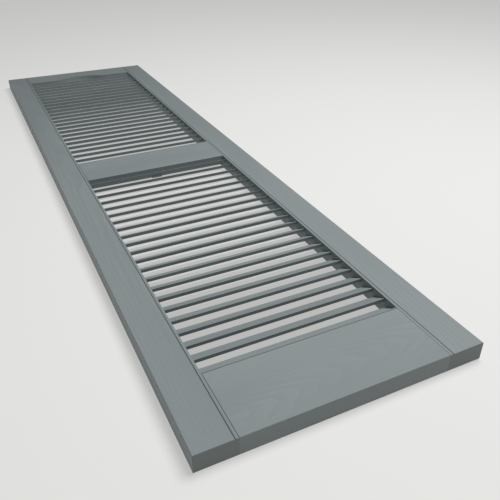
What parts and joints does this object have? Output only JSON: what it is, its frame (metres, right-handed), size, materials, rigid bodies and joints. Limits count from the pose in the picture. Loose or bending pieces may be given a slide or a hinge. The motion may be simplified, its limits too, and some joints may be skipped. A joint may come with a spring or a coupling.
{
  "type": "louvred shutter",
  "caption": "Painted timber shutter panel with fixed sloping louvres in two fields and an arched top rail.",
  "frame": {"origin": "middle of the panel's back, on the surface that it lies on", "axes": "+X across the panel, +Y along it towards the top rail, +Z from the back to the face"},
  "size_m": [0.406, 1.536, 0.028],
  "materials": {
    "frame_paint": "satin grey paint with the grain showing",
    "louvre_paint": "satin grey paint",
    "bare_wood": "bare"
  },
  "bodies": {
    "root": {"left_stile": "frame_paint", "right_stile": "frame_paint", "bottom_rail": "frame_paint", "mid_rail": "frame_paint", "top_rail": "frame_paint", "bottom_rail_dowels": "bare_wood", "mid_rail_dowels": "bare_wood", "top_rail_dowels": "bare_wood", "stop_block": "frame_paint", "lower_louvre_01": "louvre_paint", "lower_louvre_02": "louvre_paint", "lower_louvre_03": "louvre_paint", "lower_louvre_04": "louvre_paint", "lower_louvre_05": "louvre_paint", "lower_louvre_06": "louvre_paint", "lower_louvre_07": "louvre_paint", "lower_louvre_08": "louvre_paint", "lower_louvre_09": "louvre_paint", "lower_louvre_10": "louvre_paint", "lower_louvre_11": "louvre_paint", "lower_louvre_12": "louvre_paint", "lower_louvre_13": "louvre_paint", "lower_louvre_14": "louvre_paint", "lower_louvre_15": "louvre_paint", "lower_louvre_16": "louvre_paint", "lower_louvre_17": "louvre_paint", "lower_louvre_18": "louvre_paint", "lower_louvre_19": "louvre_paint", "lower_louvre_20": "louvre_paint", "lower_louvre_21": "louvre_paint", "lower_louvre_22": "louvre_paint", "upper_louvre_01": "louvre_paint", "upper_louvre_02": "louvre_paint", "upper_louvre_03": "louvre_paint", "upper_louvre_04": "louvre_paint", "upper_louvre_05": "louvre_paint", "upper_louvre_06": "louvre_paint", "upper_louvre_07": "louvre_paint", "upper_louvre_08": "louvre_paint", "upper_louvre_09": "louvre_paint", "upper_louvre_10": "louvre_paint", "upper_louvre_11": "louvre_paint", "upper_louvre_12": "louvre_paint", "upper_louvre_13": "louvre_paint", "upper_louvre_14": "louvre_paint", "upper_louvre_15": "louvre_paint", "upper_louvre_16": "louvre_paint", "upper_louvre_17": "louvre_paint", "upper_louvre_18": "louvre_paint", "upper_louvre_19": "louvre_paint", "upper_louvre_20": "louvre_paint", "upper_louvre_21": "louvre_paint", "upper_louvre_22": "louvre_paint", "upper_louvre_23": "louvre_paint", "upper_louvre_24": "louvre_paint"}
  },
  "joints": []
}
